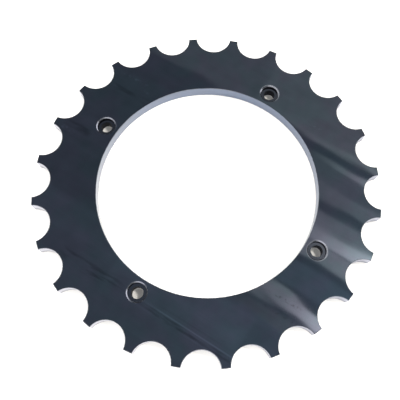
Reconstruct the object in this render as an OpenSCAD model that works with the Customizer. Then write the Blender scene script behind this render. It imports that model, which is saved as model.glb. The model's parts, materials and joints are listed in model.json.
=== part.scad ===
// Star wheel: a flat indexing ring that carries round containers in pockets around its rim.
// The origin is the middle of the bore on the underside. +Z points to the counterbored face,
// and +X runs through the middle of a pocket.

/* [Plate] */
// Outside diameter over the tooth tips
outside_d = 210; // [190:1:260]
// Thickness of the plate
plate_t = 8; // [4:0.5:20]
// Diameter of the bore that fits over the hub
bore_d = 134; // [80:1:158]
// Chamfer that breaks the edges of the bore and the pockets
edge_break = 0.2; // [0.1:0.05:0.8]
// Further chamfer on the tooth tips, which lead a container into its pocket
tip_easing = 0.1; // [0.05:0.05:0.5]

/* [Pockets] */
// Number of pockets around the rim
pocket_count = 24; // [8:1:27]
// Diameter of the round container that sits in a pocket
container_d = 22; // [12:0.5:25]
// Clearance on the diameter between container and pocket
pocket_clearance = 0.4; // [0.1:0.1:2]
// Distance of the pocket centres outside the tooth tips
pocket_standoff = 1; // [0:0.1:6]

/* [Screw holes] */
// Number of screw holes
screw_count = 4; // [2:1:12]
// Angle of the first screw hole from the middle of a pocket
screw_start_angle = 45; // [0:5:90]
// Distance from the wall of the bore to the middle of a screw hole
screw_land = 8; // [7:0.25:19]
// Diameter of the screw
screw_d = 6; // [3:0.5:9]
// Clearance on the diameter between screw and hole
screw_clearance = 1; // [0.2:0.1:2]
// Diameter of the screw head
head_d = 10; // [8:0.5:12.5]
// Clearance on the diameter between screw head and counterbore
head_clearance = 1; // [0.2:0.1:3]
// Depth of the counterbore
counterbore_depth = 2; // [1:0.1:7]
// Chamfer on the rim of the counterbore
counterbore_chamfer = 0.6; // [0.1:0.1:0.9]
// Chamfer where the screw hole leaves the underside
back_chamfer = 0.4; // [0.1:0.1:0.9]

/* [Hidden] */
$fn = 120;

// How far the cutters run past the faces of the plate
overrun = 1;
outside_r = outside_d / 2;
tip_break = edge_break + tip_easing;
bore_r = bore_d / 2;
pocket_r = (container_d + pocket_clearance) / 2;
pocket_circle_r = outside_r + pocket_standoff;
screw_circle_r = bore_r + screw_land;
screw_hole_r = (screw_d + screw_clearance) / 2;
counterbore_r = (head_d + head_clearance) / 2;
slate = [0.19, 0.22, 0.27];

// Copies what follows evenly around the wheel, at one distance from its axis
module around(count, distance, start_angle = 0) {
    for (i = [0 : count - 1])
        rotate(start_angle + i * 360 / count)
            translate([distance, 0, 0])
                children();
}

// Round plate whose rim has both edges broken
module blank() {
    rotate_extrude()
        polygon([
            [0, 0],
            [outside_r - tip_break, 0],
            [outside_r, tip_break],
            [outside_r, plate_t - tip_break],
            [outside_r - tip_break, plate_t],
            [0, plate_t],
        ]);
}

// Cutter for a round wall through the plate with both edges broken
module wall_cutter(wall_r) {
    flare_r = wall_r + edge_break + overrun;
    rotate_extrude()
        polygon([
            [0, -overrun],
            [flare_r, -overrun],
            [wall_r, edge_break],
            [wall_r, plate_t - edge_break],
            [flare_r, plate_t + overrun],
            [0, plate_t + overrun],
        ]);
}

// Cutter for a screw hole with its counterbore on the upper face
module screw_cutter() {
    rotate_extrude()
        polygon([
            [0, -overrun],
            [screw_hole_r + back_chamfer + overrun, -overrun],
            [screw_hole_r, back_chamfer],
            [screw_hole_r, plate_t - counterbore_depth],
            [counterbore_r, plate_t - counterbore_depth],
            [counterbore_r, plate_t - counterbore_chamfer],
            [counterbore_r + counterbore_chamfer + overrun, plate_t + overrun],
            [0, plate_t + overrun],
        ]);
}

module star_wheel() {
    color(slate)
        difference() {
            blank();
            wall_cutter(bore_r);
            around(pocket_count, pocket_circle_r) wall_cutter(pocket_r);
            around(screw_count, screw_circle_r, screw_start_angle) screw_cutter();
        }
}

star_wheel();
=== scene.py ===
# Star wheel: dark ground faces, bright cut walls, on a white floor in soft studio light.
# Lengths are metres in the scene. The finish works in millimetres on the wheel's own axes:
# the origin is the middle of the bore on the underside, and +Z points to the counterbored face.
import json
import math
from types import SimpleNamespace

import bpy
from mathutils import Matrix, Vector


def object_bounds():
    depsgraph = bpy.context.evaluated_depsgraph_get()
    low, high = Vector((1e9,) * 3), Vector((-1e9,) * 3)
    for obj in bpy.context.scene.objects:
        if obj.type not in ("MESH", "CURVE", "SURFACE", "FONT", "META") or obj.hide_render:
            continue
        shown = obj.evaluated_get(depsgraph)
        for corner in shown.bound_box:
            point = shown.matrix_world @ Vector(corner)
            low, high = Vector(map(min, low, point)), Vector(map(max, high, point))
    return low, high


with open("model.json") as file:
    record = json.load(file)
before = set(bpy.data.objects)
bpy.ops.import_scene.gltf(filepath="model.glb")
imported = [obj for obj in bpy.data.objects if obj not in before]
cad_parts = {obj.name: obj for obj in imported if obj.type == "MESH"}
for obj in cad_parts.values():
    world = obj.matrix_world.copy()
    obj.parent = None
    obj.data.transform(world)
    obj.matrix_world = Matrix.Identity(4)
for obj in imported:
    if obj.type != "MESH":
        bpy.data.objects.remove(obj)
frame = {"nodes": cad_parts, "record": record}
cad_low, cad_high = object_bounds()
plate = frame["nodes"]["star_wheel"]

# The wheel's sizes, in millimetres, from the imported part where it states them
MM = 0.001
mounts = {mount["name"]: mount["dims"] for mount in frame["record"]["mounts"]}
pockets = frame["record"]["physics"]["openings"]
pocket_low, pocket_high = pockets[0]["box_m"]
PLATE_T = round(cad_high[2] / MM, 2)
TIP_R = round(max(vertex.co.xy.length for vertex in plate.data.vertices) / MM, 2)
BORE_R = mounts["bore"]["r_mm"]
POCKET_COUNT = len(pockets)
POCKET_CIRCLE_R = round((pocket_low[0] + pocket_high[0]) / 2 / MM, 2)
POCKET_R = 11.2
SCREW_OFFSET = mounts["screw_holes"]["pcd_mm"] / 2 * math.sqrt(0.5)
BACK_CHAMFER = 0.4
UNDERSIDE_RIM_R = mounts["screw_holes"]["hole_r_mm"] + BACK_CHAMFER
COUNTERBORE_RIM_R = 6.1

# What counts as part of a screw hole or of the bore, and how far inside the plate a screw seat lies
SCREW_ZONE_R = COUNTERBORE_RIM_R + 0.2
BORE_ZONE_R = BORE_R + 0.4
SEAT_INSET = 1.0

# How upright the normal is on a wall at most, and on a flat face at least. Broken edges lie between.
WALL_UPRIGHT = 0.3
FLAT_UPRIGHT = 0.95

# Finish colours, linear
SLATE_TEAL = (0.061, 0.080, 0.095, 1)
SLATE_VIOLET = (0.071, 0.076, 0.099, 1)
BORE_SILVER = (0.128, 0.167, 0.258, 1)
POCKET_SILVER = (0.45, 0.46, 0.54, 1)
BARE_EDGE = (0.70, 0.72, 0.76, 1)
RIM_STEEL = (0.40, 0.41, 0.45, 1)
HOLE_BLACK = (0.030, 0.032, 0.040, 1)
SEAT_DARK = (0.052, 0.057, 0.069, 1)

# Roughness of each surface, and how much the patterns add to it
FACE_ROUGH = 0.036
SMEAR_ROUGH = 0.03
GRAIN_ROUGH = 0.02
WALL_ROUGH = 0.30
WALL_LINE_ROUGH = 0.20
HOLE_ROUGH = 0.85
EDGE_ROUGH = 0.34
SEAT_ROUGH = 0.14
RIM_ROUGH = 0.20
OIL_ROUGH = 0.12
WALL_METAL = 0.88

# Patterns in the ground faces: size along and across the grain and into the plate, in millimetres,
# the place in the noise where the pattern starts, and detail
FACE_PATTERNS = {
    "bands": (240, 10, 1, 0, 3.0),
    "grain": (26, 0.32, 1, 0, 2.0),
    "smear": (60, 16, 3, 40, 3.0),
    "mottle": (9, 9, 3, 20, 3.0),
    "wander": (20, 20, 3, 70, 2.0),
    "strands": (15, 2.4, 1, 50, 3.0),
    "scuffs": (2.2, 1.6, 1, 60, 1.0),
    "waves": (45, 22, 3, 90, 1.0),
}
STRAND_EDGES = (0.42, 0.60)
SCUFF_EDGES = (0.52, 0.62)
STRAND_WANDER = 4.0

# Clouds of teal and violet in the dark finish
CLOUD_SIZE = 22
CLOUD_DEPTH = 3
CLOUD_SLICE = 11.1
CLOUD_EDGES = (0.36, 0.64)

# How light the faces are, and how much the patterns add
FACE_SHADE = 0.57
BAND_SHADE = 0.30
GRAIN_SHADE = 0.24
MOTTLE_SHADE = 0.32

# Lines dragged along the faces in grinding, in millimetres: place across, from and to along, half
# width, and how much lighter or darker
DRAG_LINES = [
    (-77.0, 0, 86, 0.6, 0.36),
    (-80.6, -8, 70, 0.9, 0.14),
    (-74.4, 6, 62, 0.9, -0.08),
]

# Dark smudges in strands along the grain, given as the drag lines are
SMUDGE_LINES = [
    (-78.9, 0, 80, 2.4, -0.32),
    (-78.0, -54, -4, 5.0, -0.30),
    (27.0, -92, -58, 4.0, -0.26),
    (-9.5, -100, -78, 3.6, -0.28),
]

# Lines of short scuffs, given as the drag lines are
SCUFF_LINES = [
    (37.5, -92, -66, 1.2, 0.5),
    (33.0, -76, -62, 1.0, 0.3),
    (-14.4, -101, -86, 2.0, 0.4),
    (-35.0, 60, 86, 1.1, -0.35),
    (-43.5, 60, 90, 1.0, -0.25),
    (70.0, 18, 50, 1.0, 0.25),
]

# Worn spots along the edges: how far they reach in millimetres, which part of the smear bares
# the metal, and how much of it shows
WEAR_REACH = (0.15, 0.45)
WEAR_EDGES = (0.45, 0.62)
WEAR_SHARE = 0.35

# Cutter marks on the walls: turning lines round the bore and cutter lines down the pockets. Runs are
# counted in a radian, and pitch, depth and height are in millimetres.
TURNED_RUNS = 4
TURNED_PITCH = 0.8
TURNED_DEPTH = 40
MILLED_PITCH = 0.45
MILLED_HEIGHT = 30
WALL_SHADE = 0.80
WALL_LINE_SHADE = 0.4

# Painted shade over the lower zone of the pocket walls, where they mirror the shaded floor, in the same
# units: how fine it is, where it fades out, how ragged its end is, and how dark it is
FOOT_SHADE_RUNS = 60
FOOT_SHADE_DEPTH = 9
FOOT_SHADE_FADE = (1.2, 3.6)
FOOT_SHADE_RAGGED = 3
PAINTED_FOOT_SHADE = 0.32

# Relief in millimetres
WAVE_RELIEF = 0.12
GRAIN_RELIEF = 0.0004
WALL_RELIEF = 0.004

# The floor's paper and its glow, as they are and as polished metal mirrors them. The mirrored glow is
# painted light, brighter to the left, that lightens the reflection in the left of the bore wall
FLOOR_HALF = 40.0
FLOOR_Z = -0.00005
PAPER_WHITE = (0.90, 0.88, 0.84, 1)
PAPER_GLOW = (0.090, 0.088, 0.084, 1)
MIRRORED_PAPER = (0.45, 0.44, 0.42, 1)
MIRRORED_GLOW_LEFT = (0.80, 0.76, 0.68, 1)
MIRRORED_GLOW_RIGHT = (0.38, 0.38, 0.38, 1)
GLOW_REACH = 0.06

# The camera stands where the photograph was taken from
CAMERA_PLACE = Vector((-0.025096, -0.100905, 0.287603))
CAMERA_RIGHT = Vector((0.972760, -0.230423, 0.025347))
CAMERA_UP = Vector((0.210644, 0.924279, 0.318335))
CAMERA_BACK = Vector((-0.096780, -0.304325, 0.947639))
CAMERA_LENS = 44.515
CAMERA_SENSOR = 36
CAMERA_SHIFT = (-0.0443, 0.0040)
CAMERA_CLIP = 0.01

# Power of a rectangular light for each unit of its area and brightness
LAMP_POWER = 4

# The key light: bearing and elevation in degrees, distance and side in metres, and brightness
KEY_BEARING = 2
KEY_ELEVATION = 57
KEY_REACH = 1.3
KEY_SIDE = 0.2
KEY_RADIANCE = 62.0
KEY_WARM = (1.0, 0.97, 0.92)

# Ceiling strips, each given by where its mirror image lies on the upper face: from and to along
# the grain, from and to across it, in millimetres, the brightness at either end, and the colour
STRIP_WARM = (1.01, 0.95, 0.87, 1)
STRIP_PALE = (0.77, 0.85, 0.96, 1)
STRIP_COOL = (0.50, 0.75, 1.00, 1)
CEILING_STRIPS = {
    "strip_right": ((10, 130), (-120, 60), (0.0, 0.26), STRIP_COOL),
    "strip_below": ((-110, 130), (-125, -50), (0.07, 0.26), STRIP_PALE),
    "strip_near": ((-20, 64), (-79, -52), (0.08, 0.11), STRIP_PALE),
    "strip_near_edge": ((20, 130), (-50.5, -43), (0.08, 0.75), STRIP_WARM),
    "strip_low": ((45, 112), (-39.5, -30.5), (0.15, 5.2), STRIP_WARM),
    "strip_between": ((40, 112), (-27, -12), (0.18, 0.34), STRIP_PALE),
    "strip_middle_low": ((50, 112), (-6.5, 3.3), (0.75, 1.8), STRIP_WARM),
    "strip_middle": ((55, 112), (4.3, 13), (0.90, 4.7), STRIP_WARM),
    "strip_middle_high": ((40, 112), (13, 22.2), (0.43, 1.0), STRIP_WARM),
    "strip_upper": ((30, 112), (27.3, 40), (0.34, 0.82), STRIP_WARM),
    "strip_upper_end": ((30, 112), (40, 50), (0.22, 0.28), STRIP_WARM),
    "strip_upper_line": ((20, 100), (50, 54.5), (0.0, 2.6), STRIP_WARM),
    "strip_far_line": ((5, 95), (61.3, 65), (0.1, 0.95), STRIP_WARM),
    "strip_far_right": ((-5, 125), (62, 125), (0.36, 0.70), STRIP_WARM),
    "strip_far_left": ((-120, -5), (62, 125), (0.18, 0.24), STRIP_WARM),
    "strip_low_start": ((46, 72), (-41, -30), (0.60, 0.0), STRIP_WARM),
}

# Angle of the grain, and of the strips that hang turned out of it, in degrees
GRAIN_ANGLE = -45
STRIP_TURNS = {"strip_low": -9}

# How much larger than its image the first strip is. Each further one hangs a little lower.
CEILING_SCALE = 5
SCALE_DROP = 0.01

# The sky that lights the studio, by the height of the direction, from level to straight up
LIGHT_LEVELS = [
    (0.00, (2.6, 2.6, 2.6, 1)),
    (0.70, (2.6, 2.6, 2.6, 1)),
    (0.84, (0.2, 0.2, 0.2, 1)),
]

# A brighter part of that sky, which fills the shade beside the key: bearing and half width in
# degrees, heights of the foot and the top, and colour
FILL_PANEL = (195, 120, -0.1, 0.76, (3.8, 3.8, 3.8, 1))

# The darker sky that polished steel mirrors, given as the lighting sky is
MIRROR_LEVELS = [
    (0.00, (1.05, 1.05, 1.05, 1)),
    (0.04, (0.95, 0.95, 0.96, 1)),
    (0.10, (0.50, 0.52, 0.56, 1)),
    (0.60, (0.50, 0.52, 0.56, 1)),
    (0.80, (0.36, 0.40, 0.46, 1)),
]

# Soft upright stripes round the mirrored sky, which give the faces their sheen: how many, how softly
# each begins and ends, the heights of the foot and the top, and colour
STRIPE_COUNT = 20
STRIPE_EDGES = (-0.5, 1.0)
STRIPE_FOOT = 0.12
STRIPE_TOP = 0.79
STRIPE_WHITE = (1.30, 1.28, 1.25, 1)

# Soft panels in the mirrored sky, given as the fill is: two that glint in the hole rims, with a dark
# one between them
MIRROR_PANELS = [
    (225, 32, -0.1, 0.44, (1.1, 1.1, 1.2, 1)),
    (12, 40, -0.1, 0.36, (1.5, 1.5, 1.6, 1)),
    (303, 46, 0.06, 0.60, (0.10, 0.11, 0.12, 1)),
]
SKY_FADE = 0.1
BACKDROP_WHITE = (1.2, 1.2, 1.2, 1)


class Field:
    """A socket of a node tree. Arithmetic on it adds Math nodes."""

    def __init__(self, finish, socket):
        self.finish = finish
        self.socket = socket

    def math(self, operation, *others):
        operands = dict(enumerate((self, *others)))
        return self.finish.node("ShaderNodeMath", {"operation": operation}, operands)

    def __add__(self, other):
        return self.math("ADD", other)

    def __radd__(self, other):
        return self.math("ADD", other)

    def __sub__(self, other):
        return self.math("SUBTRACT", other)

    def __rsub__(self, other):
        return self * -1 + other

    def __mul__(self, other):
        return self.math("MULTIPLY", other)

    def __rmul__(self, other):
        return self.math("MULTIPLY", other)

    def __truediv__(self, other):
        return self.math("DIVIDE", other)

    def __abs__(self):
        return self.math("ABSOLUTE")

    def __lt__(self, other):
        return self.math("LESS_THAN", other)

    def __gt__(self, other):
        return self.math("GREATER_THAN", other)


class Finish:
    """A node tree that is filled one node at a time."""

    def __init__(self, tree):
        self.tree = tree
        tree.nodes.clear()

    def node(self, kind, settings, sockets, output=0):
        """Adds a node and gives one of its outputs, or nothing where it has none."""
        made = self.tree.nodes.new(kind)
        for name, value in settings.items():
            if name == "stops":
                set_stops(made.color_ramp.elements, value)
            else:
                setattr(made, name, value)
        for name, value in sockets.items():
            if isinstance(value, Field):
                self.tree.links.new(value.socket, made.inputs[name])
            else:
                made.inputs[name].default_value = value
        return Field(self, made.outputs[output]) if len(made.outputs) else None

    def part(self, vector, axis):
        return self.node("ShaderNodeSeparateXYZ", {}, {"Vector": vector}, axis)

    def noise(self, x, y, z, detail, roughness=0.5, slice_at=None):
        place = self.node("ShaderNodeCombineXYZ", {}, {"X": x, "Y": y, "Z": z})
        sockets = {"Vector": place, "Scale": 1.0, "Detail": detail, "Roughness": roughness}
        if slice_at is None:
            return self.node("ShaderNodeTexNoise", {"noise_dimensions": "3D"}, sockets)
        return self.node("ShaderNodeTexNoise", {"noise_dimensions": "4D"}, sockets | {"W": slice_at})

    def step(self, value, low, high, start=0.0, end=1.0):
        """Goes smoothly from start to end as value goes from low to high."""
        settings = {"interpolation_type": "SMOOTHSTEP"}
        sockets = {"Value": value, "From Min": low, "From Max": high, "To Min": start, "To Max": end}
        return self.node("ShaderNodeMapRange", settings, sockets)

    def mix(self, factor, first, second):
        return self.node("ShaderNodeMix", {"data_type": "RGBA"}, {0: factor, 6: first, 7: second}, 2)

    def shade(self, colour, factor):
        settings = {"operation": "SCALE"}
        return self.node("ShaderNodeVectorMath", settings, {"Vector": colour, "Scale": factor})


def set_stops(ramp, stops):
    """Gives a colour ramp these positions and colours."""
    while len(ramp) < len(stops):
        ramp.new(1)
    for element, (position, colour) in zip(ramp, stops):
        element.position = position
        element.color = colour


def partway(first, second, share):
    return first + share * (second - first)


def distance(x, y):
    return (x * x + y * y).math("SQRT")


def find_place(finish):
    """Where on the wheel a point is, in millimetres and radians, and how upright its normal is."""
    spot = finish.node("ShaderNodeTexCoord", {}, {}, "Object")
    x, y, z = (finish.part(spot, axis) / MM for axis in "XYZ")
    normal = finish.node("ShaderNodeNewGeometry", {}, {}, "True Normal")
    radius = distance(x, y)
    bearing = y.math("ARCTAN2", x)
    pitch = 2 * math.pi / POCKET_COUNT
    turn = bearing - (bearing / pitch).math("ROUND") * pitch
    pocket_x = radius * turn.math("COSINE") - POCKET_CIRCLE_R
    pocket_y = radius * turn.math("SINE")
    return SimpleNamespace(
        x=x,
        y=y,
        z=z,
        along=(x - y) * math.sqrt(0.5),
        across=(x + y) * math.sqrt(0.5),
        upright=abs(finish.part(normal, "Z")),
        radius=radius,
        bearing=bearing,
        from_screw=distance(abs(x) - SCREW_OFFSET, abs(y) - SCREW_OFFSET),
        from_pocket=distance(pocket_x, pocket_y),
        pocket_turn=turn,
        round_pocket=pocket_y.math("ARCTAN2", pocket_x),
    )


def find_zones(place):
    """Which surface a point is on, one or nought for each."""
    wall = place.upright < WALL_UPRIGHT
    not_wall = place.upright > WALL_UPRIGHT
    edge_break = not_wall * (place.upright < FLAT_UPRIGHT)
    in_screw_hole = place.from_screw < SCREW_ZONE_R
    upper_half = place.z > PLATE_T / 2
    hole_rim = in_screw_hole * edge_break * upper_half
    face = not_wall * (1 - hole_rim)
    inside_plate = (place.z > SEAT_INSET) * (place.z < PLATE_T - SEAT_INSET)
    return SimpleNamespace(
        wall=wall,
        face=face,
        edge_break=edge_break,
        upper_half=upper_half,
        in_screw_hole=in_screw_hole,
        hole_wall=in_screw_hole * wall,
        hole_rim=hole_rim,
        screw_seat=face * in_screw_hole * inside_plate,
        on_bore=place.radius < BORE_ZONE_R,
    )


def edge_distance(place, zones):
    """How far a point of the faces is from the nearest edge, in millimetres."""
    hole_rim_r = partway(UNDERSIDE_RIM_R, COUNTERBORE_RIM_R, zones.upper_half)
    nearest = (place.radius - BORE_R).math("MINIMUM", place.from_pocket - POCKET_R)
    nearest = nearest.math("MINIMUM", TIP_R - place.radius)
    return nearest.math("MINIMUM", abs(place.from_screw - hole_rim_r))


def face_pattern(finish, name, along, across, z):
    """One of the patterns in the ground faces."""
    size_along, size_across, size_deep, start, detail = FACE_PATTERNS[name]
    return finish.noise(along / size_along, across / size_across, z / size_deep + start, detail)


def line_mark(finish, along, across, mark):
    """A mark along the grain that fades at its sides and over a quarter of its length at each end."""
    middle, start, end, half_width, lightness = mark
    fade = (end - start) / 4
    side = finish.step(abs(across - middle), half_width / 4, half_width, lightness, 0.0)
    first = finish.step(along, start, start + fade)
    last = finish.step(along, end - fade, end, 1.0, 0.0)
    return side * first * last


def face_shade(finish, place, grain):
    """How light the dark finish is: bands, grain and mottling, then drag lines, smudges and scuffs."""
    along, across, z = place.along, place.across, place.z
    bands = face_pattern(finish, "bands", along, across, z)
    mottle = face_pattern(finish, "mottle", place.x, place.y, z)
    shade = FACE_SHADE + BAND_SHADE * bands + GRAIN_SHADE * grain + MOTTLE_SHADE * mottle
    for mark in DRAG_LINES:
        shade = shade + line_mark(finish, along, across, mark)
    wander = face_pattern(finish, "wander", along, across, z)
    wavering = across + STRAND_WANDER * (wander - 0.5)
    strands = finish.step(face_pattern(finish, "strands", along, wavering, z), *STRAND_EDGES)
    for mark in SMUDGE_LINES:
        shade = shade + strands * line_mark(finish, along, wavering, mark)
    scuffs = finish.step(face_pattern(finish, "scuffs", along, across, z), *SCUFF_EDGES)
    for mark in SCUFF_LINES:
        shade = shade + scuffs * line_mark(finish, along, across, mark)
    return shade


def ground_face(finish, place, zones):
    """The dark faces, ground in one direction, with metal that shows where the edges are worn."""
    grain = face_pattern(finish, "grain", place.along, place.across, place.z)
    smear = face_pattern(finish, "smear", place.along, place.across, place.z)
    waves = face_pattern(finish, "waves", place.along, place.across, place.z)
    cloud_place = (place.x / CLOUD_SIZE, place.y / CLOUD_SIZE, place.z / CLOUD_DEPTH)
    cloud = finish.noise(*cloud_place, detail=4.0, roughness=0.6, slice_at=CLOUD_SLICE)
    slate = finish.mix(finish.step(cloud, *CLOUD_EDGES), SLATE_TEAL, SLATE_VIOLET)
    slate = finish.shade(slate, face_shade(finish, place, grain))
    near_edge = finish.step(edge_distance(place, zones), *WEAR_REACH, 1.0, 0.0)
    worn = near_edge * finish.step(smear, *WEAR_EDGES) * WEAR_SHARE
    return SimpleNamespace(
        colour=finish.mix(worn, slate, BARE_EDGE),
        rough=FACE_ROUGH + SMEAR_ROUGH * smear + GRAIN_ROUGH * (grain - 0.5),
        relief=WAVE_RELIEF * waves + GRAIN_RELIEF * grain,
    )


def cut_wall(finish, place, zones):
    """The bright walls: the bore is turned, and the pockets are milled, with painted shade darkening
    their lower zone.
    """
    z = place.z
    turned_place = (place.bearing * TURNED_RUNS, z / TURNED_PITCH, place.radius / TURNED_DEPTH)
    turned = finish.noise(*turned_place, detail=4.0, roughness=0.6)
    milled_place = (place.round_pocket * POCKET_R / MILLED_PITCH, z / MILLED_HEIGHT, place.pocket_turn)
    milled = finish.noise(*milled_place, detail=2.0)
    lines = partway(milled, turned, zones.on_bore)
    # Painted shade: the pocket walls darken towards their foot, where they mirror the shaded floor.
    foot_shade_place = (place.bearing * FOOT_SHADE_RUNS, z / MILLED_HEIGHT, place.radius / FOOT_SHADE_DEPTH)
    foot_shade_noise = finish.noise(*foot_shade_place, detail=2.0)
    painted_foot_shade = finish.step(z + FOOT_SHADE_RAGGED * (foot_shade_noise - 0.5), *FOOT_SHADE_FADE, 1.0, 0.0) * (1 - zones.on_bore)
    silver = finish.mix(zones.on_bore, POCKET_SILVER, BORE_SILVER)
    return SimpleNamespace(
        colour=finish.shade(silver, (WALL_SHADE + WALL_LINE_SHADE * lines) * (1 - PAINTED_FOOT_SHADE * painted_foot_shade)),
        rough=WALL_ROUGH + WALL_LINE_ROUGH * lines,
        relief=WALL_RELIEF * lines,
    )


def plate_finish(material):
    """Lays matt black hole walls, bright hole rims, faces and dark screw seats over the cut walls."""
    finish = Finish(material.node_tree)
    place = find_place(finish)
    zones = find_zones(place)
    ground = ground_face(finish, place, zones)
    cut = cut_wall(finish, place, zones)
    colour = finish.mix(zones.hole_wall, cut.colour, HOLE_BLACK)
    colour = finish.mix(zones.hole_rim, colour, RIM_STEEL)
    colour = finish.mix(zones.face, colour, ground.colour)
    colour = finish.mix(zones.screw_seat, colour, SEAT_DARK)
    rough = partway(cut.rough, HOLE_ROUGH, zones.hole_wall)
    rough = partway(rough, ground.rough, zones.face)
    rough = partway(rough, EDGE_ROUGH, zones.edge_break)
    rough = partway(rough, SEAT_ROUGH, zones.screw_seat)
    rough = partway(rough, RIM_ROUGH, zones.hole_rim)
    relief = partway(cut.relief, ground.relief, zones.face)
    sockets = {
        "Base Color": colour,
        "Roughness": rough,
        "Metallic": 1 - (1 - WALL_METAL) * zones.wall * (1 - zones.in_screw_hole),
        "Normal": finish.node("ShaderNodeBump", {}, {"Strength": 1.0, "Distance": MM, "Height": relief}),
        "Coat Weight": zones.wall * zones.on_bore,
        "Coat Roughness": OIL_ROUGH,
    }
    surface = finish.node("ShaderNodeBsdfPrincipled", {}, sockets)
    finish.node("ShaderNodeOutputMaterial", {}, {"Surface": surface})


def new_material(name):
    material = bpy.data.materials.new(name)
    material.use_nodes = True
    return material


def floor_finish(material):
    """White paper with a slight glow, clear from below. Polished metal mirrors the paper darker and its
    glow brighter, most of all to the left: painted light in the reflections.
    """
    finish = Finish(material.node_tree)
    place = finish.node("ShaderNodeNewGeometry", {}, {}, "Position")
    # Painted light: as metal mirrors it, the floor glows brighter to the left than to the right.
    to_right = finish.step(finish.part(place, "X"), -GLOW_REACH, GLOW_REACH)
    mirrored_glow = finish.mix(to_right, MIRRORED_GLOW_LEFT, MIRRORED_GLOW_RIGHT)
    in_mirror = finish.node("ShaderNodeLightPath", {}, {}, "Is Glossy Ray")
    sockets = {
        "Base Color": finish.mix(in_mirror, PAPER_WHITE, MIRRORED_PAPER),
        "Emission Color": finish.mix(in_mirror, PAPER_GLOW, mirrored_glow),
        "Emission Strength": 1.0,
        "Roughness": 0.9,
        "Specular IOR Level": 0.1,
    }
    paper = finish.node("ShaderNodeBsdfPrincipled", {}, sockets)
    clear = finish.node("ShaderNodeBsdfTransparent", {}, {})
    below = finish.node("ShaderNodeNewGeometry", {}, {}, "Backfacing")
    surface = finish.node("ShaderNodeMixShader", {}, {0: below, 1: paper, 2: clear})
    finish.node("ShaderNodeOutputMaterial", {}, {"Surface": surface})
    # The glow is there to be seen and mirrored, so it isn't sampled as a lamp
    material.cycles.emission_sampling = "NONE"


def make_floor():
    """A white floor just under the wheel. From below it is clear, so that the underside shows."""
    signs = [(-1, -1), (1, -1), (1, 1), (-1, 1)]
    corners = [(x * FLOOR_HALF, y * FLOOR_HALF, FLOOR_Z) for x, y in signs]
    mesh = bpy.data.meshes.new("floor")
    mesh.from_pydata(corners, [], [(0, 1, 2, 3)])
    floor = bpy.data.objects.new("floor", mesh)
    bpy.context.scene.collection.objects.link(floor)
    material = new_material("white_floor")
    floor_finish(material)
    mesh.materials.append(material)


def make_camera():
    scene = bpy.context.scene
    lens = bpy.data.cameras.new("camera")
    lens.sensor_width = CAMERA_SENSOR
    lens.lens = CAMERA_LENS
    lens.shift_x, lens.shift_y = CAMERA_SHIFT
    lens.clip_start = CAMERA_CLIP
    camera = bpy.data.objects.new("camera", lens)
    turn = Matrix((CAMERA_RIGHT, CAMERA_UP, CAMERA_BACK)).transposed()
    camera.matrix_world = Matrix.Translation(CAMERA_PLACE) @ turn.to_4x4()
    scene.collection.objects.link(camera)
    scene.camera = camera


def softbox(name, place, turn, width, depth, radiance=1.0, colour=(1, 1, 1)):
    """A rectangular light, hidden from the camera, that is as bright as radiance."""
    lamp = bpy.data.lights.new(name, "AREA")
    lamp.shape = "RECTANGLE"
    lamp.size = width
    lamp.size_y = depth
    lamp.energy = radiance * LAMP_POWER * width * depth
    lamp.color = colour
    light = bpy.data.objects.new(name, lamp)
    light.location = place
    light.rotation_euler = turn
    light.visible_camera = False
    bpy.context.scene.collection.objects.link(light)
    return light


def make_key():
    """A small warm light high on the right, aimed at the middle of the wheel."""
    bearing = math.radians(KEY_BEARING)
    elevation = math.radians(KEY_ELEVATION)
    level = Vector((math.cos(bearing), math.sin(bearing), 0)) * math.cos(elevation)
    place = (level + Vector((0, 0, math.sin(elevation)))) * KEY_REACH
    turn = (-place).to_track_quat("-Z", "Y").to_euler()
    softbox("key", place, turn, KEY_SIDE, KEY_SIDE, KEY_RADIANCE, KEY_WARM)


def grade(lamp, start, end, colour):
    """Grades a lamp from start to end of its width, slowly first, in the lamp's own brightness."""
    lamp.use_nodes = True
    finish = Finish(lamp.node_tree)
    spot = finish.node("ShaderNodeNewGeometry", {}, {}, "Parametric")
    share = finish.part(spot, "X")
    level = start + (end - start) * share * share
    glow = finish.node("ShaderNodeEmission", {}, {"Color": colour, "Strength": level})
    finish.node("ShaderNodeOutputLight", {}, {"Surface": glow})


def make_ceiling():
    """Hangs the strips, each at its own height, where the eye finds their mirror images."""
    eye = Vector((CAMERA_PLACE.x, CAMERA_PLACE.y))
    face_height = PLATE_T * MM
    eye_height = CAMERA_PLACE.z - face_height
    along_axis = Vector((1, -1)) * math.sqrt(0.5)
    across_axis = Vector((1, 1)) * math.sqrt(0.5)
    scale = CEILING_SCALE
    for name, (along, across, levels, colour) in CEILING_STRIPS.items():
        on_face = (along_axis * sum(along) + across_axis * sum(across)) / 2 * MM
        middle = eye + (on_face - eye) * scale
        place = (middle.x, middle.y, face_height + eye_height * (scale - 1))
        turn = (0, 0, math.radians(GRAIN_ANGLE + STRIP_TURNS.get(name, 0)))
        width = (along[1] - along[0]) * MM * scale
        depth = (across[1] - across[0]) * MM * scale
        strip = softbox(name, place, turn, width, depth)
        grade(strip.data, *levels, colour)
        scale -= SCALE_DROP


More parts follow.
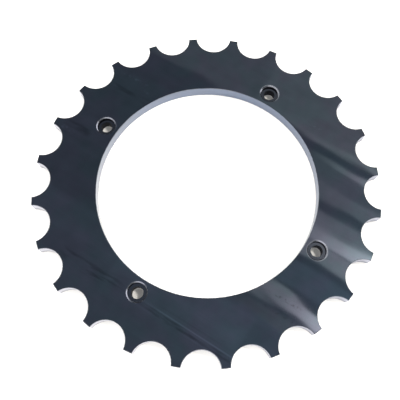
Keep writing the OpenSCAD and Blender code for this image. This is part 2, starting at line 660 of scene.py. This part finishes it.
def between_heights(finish, height, foot, top):
    """One between two heights of the sky, with soft ends."""
    rise = finish.step(height, foot, foot + SKY_FADE)
    return rise * finish.step(height, top - SKY_FADE, top, 1.0, 0.0)


def add_panel(finish, sky, bearing, height, panel):
    """Lays a soft panel over a sky."""
    middle, half_width, foot, top, colour = panel
    turn = (bearing - math.radians(middle)).math("COSINE").math("ARCCOSINE")
    inside = finish.step(turn, math.radians(half_width) / 2, math.radians(half_width), 1.0, 0.0)
    return finish.mix(inside * between_heights(finish, height, foot, top), sky, colour)


def make_world():
    """A bright sky that lights, a darker one that polished steel mirrors, and a white backdrop."""
    world = bpy.data.worlds.new("studio")
    world.use_nodes = True
    finish = Finish(world.node_tree)
    direction = finish.node("ShaderNodeTexCoord", {}, {}, "Generated")
    x, y, height = (finish.part(direction, axis) for axis in "XYZ")
    bearing = y.math("ARCTAN2", x)
    light = finish.node("ShaderNodeValToRGB", {"stops": LIGHT_LEVELS}, {"Fac": abs(height)})
    light = add_panel(finish, light, bearing, height, FILL_PANEL)
    mirrored = finish.node("ShaderNodeValToRGB", {"stops": MIRROR_LEVELS}, {"Fac": abs(height)})
    stripe = finish.step((bearing * STRIPE_COUNT).math("COSINE"), *STRIPE_EDGES)
    stripe = stripe * between_heights(finish, height, STRIPE_FOOT, STRIPE_TOP)
    mirrored = finish.mix(stripe, mirrored, STRIPE_WHITE)
    for panel in MIRROR_PANELS:
        mirrored = add_panel(finish, mirrored, bearing, height, panel)
    in_mirror = finish.node("ShaderNodeLightPath", {}, {}, "Is Glossy Ray")
    to_camera = finish.node("ShaderNodeLightPath", {}, {}, "Is Camera Ray")
    sky = finish.mix(to_camera, finish.mix(in_mirror, light, mirrored), BACKDROP_WHITE)
    background = finish.node("ShaderNodeBackground", {}, {"Color": sky, "Strength": 1.0})
    finish.node("ShaderNodeOutputWorld", {}, {"Surface": background})
    bpy.context.scene.world = world


plate_material = new_material("blued_plate")
plate_finish(plate_material)
for material_slot in plate.material_slots:
    material_slot.material = plate_material

make_camera()
make_floor()
make_world()
make_ceiling()
make_key()
bpy.context.scene.view_settings.view_transform = "Standard"
